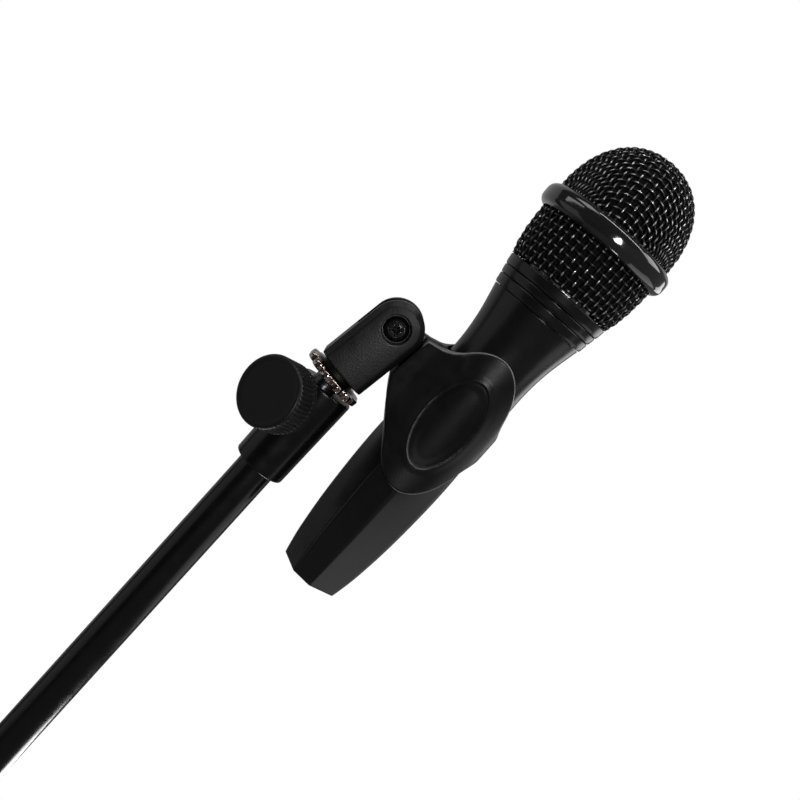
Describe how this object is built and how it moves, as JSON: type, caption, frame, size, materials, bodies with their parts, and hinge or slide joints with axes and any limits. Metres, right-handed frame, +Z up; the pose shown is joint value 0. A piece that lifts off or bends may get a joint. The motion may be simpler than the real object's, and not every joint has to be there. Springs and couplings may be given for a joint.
{
  "type": "dynamic microphone",
  "caption": "Dynamic vocal microphone with a round woven-wire grille, held by a tilting swivel clip on a clamp sleeve at the end of a boom tube.",
  "frame": {"origin": "centre of the flat outer face of the plug in the boom tube's lower end", "axes": "+Z up; the tube, clip and microphone lie in the XZ plane and rise towards +X; -Y faces the camera side with the clamp knob and the pivot screw's head"},
  "size_m": [0.2577, 0.0536, 0.2304],
  "materials": {
    "tube_black": "satin black powder coat",
    "plug_black": "matt moulded plastic",
    "sleeve_black": "satin black paint",
    "knob_black": "matt black plastic, ribbed rim",
    "steel_dark": "dark zinc",
    "steel_bright": "bright zinc",
    "brass": "turned brass",
    "ring_chrome": "polished nickel with warm reflections",
    "clip_black": "satin black nylon",
    "clevis_black": "fine-grained satin black nylon",
    "washer_fibre": "fibre",
    "handle_black": "semi-gloss black lacquer",
    "collar_black": "semi-gloss black",
    "mesh_black": "black woven wire with worn bright crowns",
    "grille_ring_black": "gloss black",
    "foam_black": "open-cell foam",
    "rubber_black": "moulded rubber",
    "film_amber": "thin polyester film",
    "copper": "enamelled copper winding",
    "aluminium": "turned aluminium",
    "wire_red": "red insulation",
    "wire_blue": "blue insulation",
    "insulator_dark": "moulded insulator",
    "pin_silver": "plated contact"
  },
  "bodies": {
    "boom": {"boom_tube": "tube_black", "tube_end_plug": "plug_black"},
    "sleeve": {"clamp_sleeve": "sleeve_black", "stud": "steel_dark"},
    "clamp_pad": {"clamp_pad": "brass"},
    "clamp_knob": {"clamp_knob": "knob_black", "clamp_screw": "steel_bright"},
    "lock_ring": {"lock_ring": "ring_chrome"},
    "clevis": {"clip_clevis": "clevis_black", "thread_insert": "brass", "pivot_screw": "steel_dark", "pivot_nut": "steel_bright", "friction_washer_near": "washer_fibre", "friction_washer_far": "washer_fibre"},
    "cradle": {"clip_cradle": "clip_black"},
    "microphone": {"handle": "handle_black", "neck_ring": "collar_black", "shock_mount": "rubber_black", "rear_chamber": "insulator_dark", "capsule_housing": "aluminium", "capsule_cap": "aluminium", "magnet_yoke": "steel_bright", "magnet": "steel_dark", "pole_plate": "steel_bright", "voice_coil": "copper", "diaphragm": "film_amber", "capsule_lead_hot": "wire_red", "capsule_lead_cold": "wire_blue", "xlr_insulator": "insulator_dark", "xlr_pin_1": "pin_silver", "xlr_pin_2": "pin_silver", "xlr_pin_3": "pin_silver", "xlr_set_screw": "steel_dark"},
    "grille_seat": {"grille_seat_ring": "collar_black"},
    "grille_head": {"grille_base_ring": "collar_black", "grille_skirt": "mesh_black", "grille_ring": "grille_ring_black", "grille_dome": "mesh_black", "grille_foam": "foam_black"}
  },
  "joints": [
    {"name": "sleeve_turn", "type": "hinge", "parent": "boom", "child": "sleeve", "pos_m": [0.12068, 0, 0.13356], "axis": [0.6704, 0, 0.742], "range_deg": [-180, 180]},
    {"name": "clamp_travel", "type": "slide", "parent": "sleeve", "child": "clamp_pad", "axis": [-0.4256, -0.8192, 0.3845], "range_m": [0, 0.0016]},
    {"name": "knob_turn", "type": "hinge", "parent": "clamp_pad", "child": "clamp_knob", "pos_m": [0.1176, -0.01638, 0.14726], "axis": [-0.4256, -0.8192, 0.3845], "range_deg": [0, 432]},
    {"name": "lock_ring_turn", "type": "hinge", "parent": "sleeve", "child": "lock_ring", "pos_m": [0.13462, 0, 0.15047], "axis": [0.7804, 0, 0.6252], "range_deg": [-180, 180]},
    {"name": "clip_swivel", "type": "hinge", "parent": "sleeve", "child": "clevis", "pos_m": [0.13462, 0, 0.15047], "axis": [0.7804, 0, 0.6252], "range_deg": [-60, 150]},
    {"name": "clip_tilt", "type": "hinge", "parent": "clevis", "child": "cradle", "pos_m": [0.15592, 0, 0.16754], "axis": [0, -1, 0], "range_deg": [-3, 105]},
    {"name": "microphone_slide", "type": "slide", "parent": "cradle", "child": "microphone", "axis": [0.6508, 0, 0.7593], "range_m": [0, 0.06]},
    {"name": "grille_lift", "type": "slide", "parent": "microphone", "child": "grille_seat", "axis": [0.6508, 0, 0.7593], "range_m": [0, 0.0046]},
    {"name": "grille_turn", "type": "hinge", "parent": "grille_seat", "child": "grille_head", "pos_m": [0.22197, 0, 0.19351], "axis": [0.6508, 0, 0.7593], "range_deg": [0, 1080]}
  ],
  "couplings": [
    {"joint": "clamp_travel", "follows": "knob_turn", "m_per_rad": 0.00019894},
    {"joint": "grille_lift", "follows": "grille_turn", "m_per_rad": 0.00023873}
  ]
}
